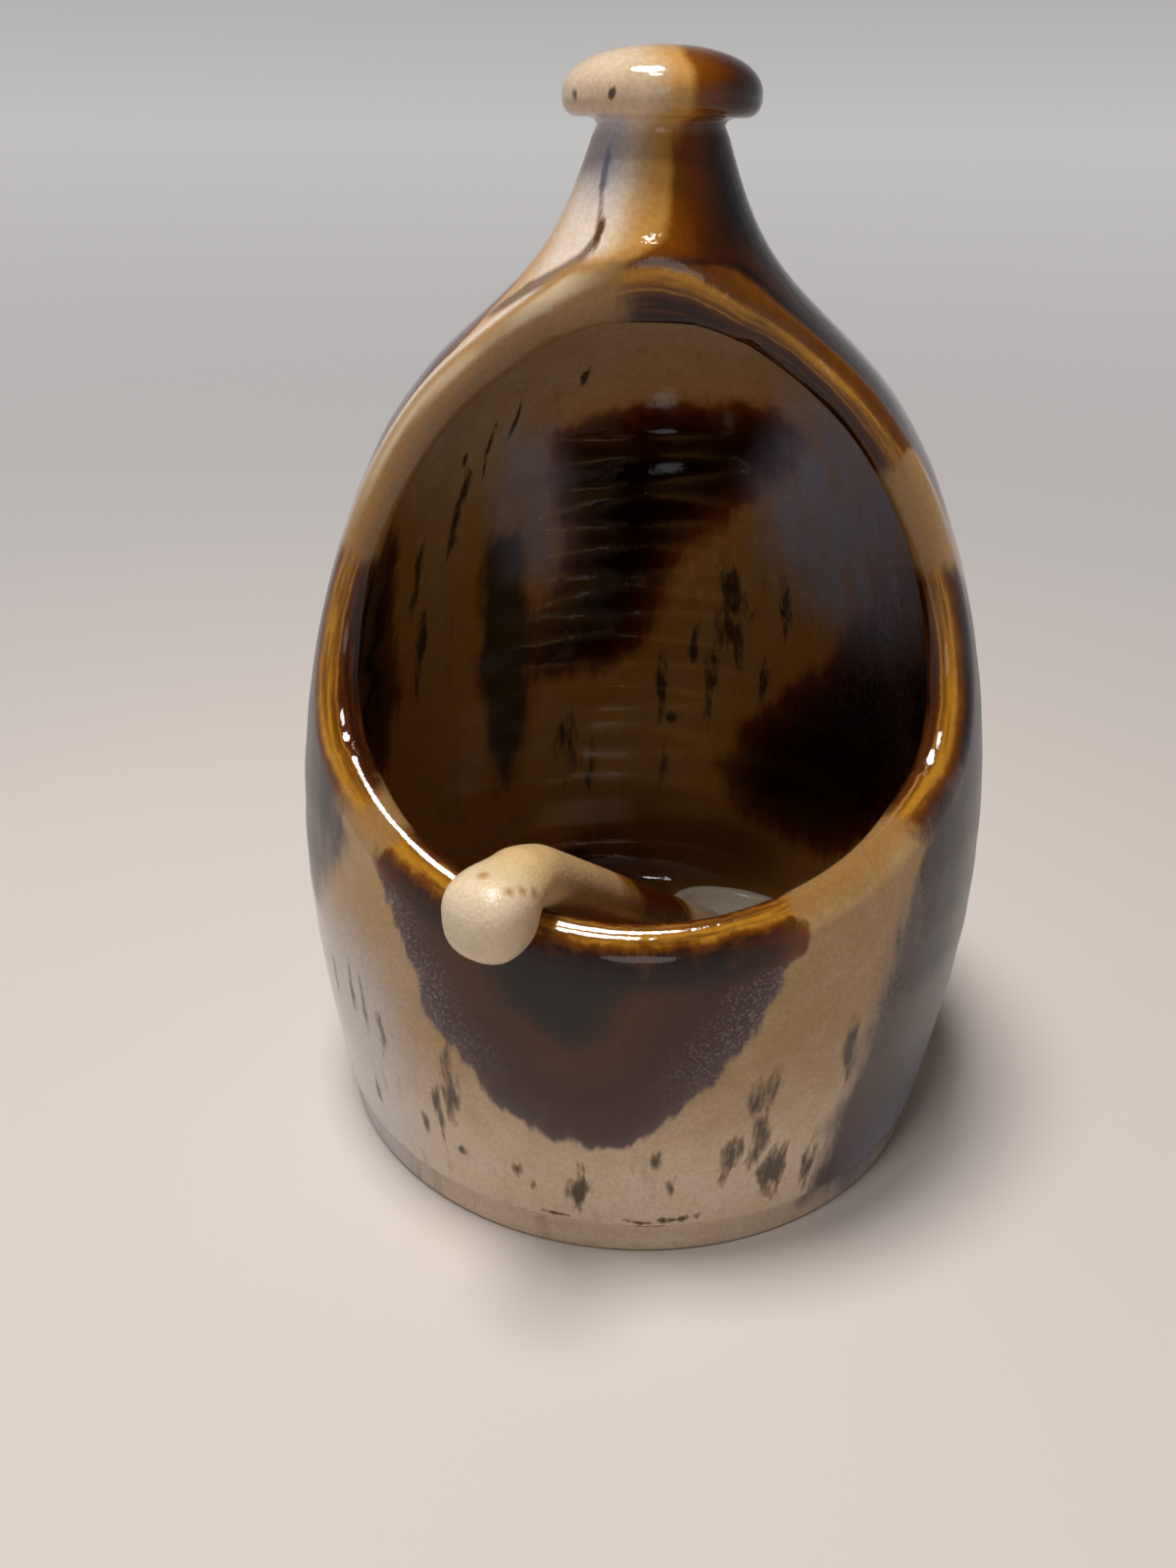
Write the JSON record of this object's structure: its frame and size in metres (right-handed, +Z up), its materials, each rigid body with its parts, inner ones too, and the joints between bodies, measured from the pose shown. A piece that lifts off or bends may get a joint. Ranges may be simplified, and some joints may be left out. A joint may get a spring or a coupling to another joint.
{
  "type": "salt pig",
  "caption": "Hooded stoneware salt pig with a wide cut mouth, a rounded rim and a knob on its neck, and a loose glazed salt spoon hooked over the front of the mouth.",
  "frame": {"origin": "centre of the pot's round foot, on the surface that it stands on", "axes": "+Z up along the pot's axis to the knob, -Y out of the mouth, +X to the right of someone who faces the mouth"},
  "size_m": [0.1242, 0.1317, 0.1819],
  "materials": {
    "pot_glaze": "glossy cream and brown stoneware glaze",
    "spoon_glaze": "satin cream stoneware glaze"
  },
  "bodies": {
    "pot": {"pot_body": "pot_glaze", "mouth_rim": "pot_glaze", "knob": "pot_glaze"},
    "spoon": {"spoon_bowl": "spoon_glaze", "spoon_handle": "spoon_glaze"}
  },
  "joints": [
    {"name": "spoon_lift", "type": "slide", "parent": "pot", "child": "spoon", "axis": [0, -0.5708, 0.8211], "range_m": [0, 0.18]}
  ]
}
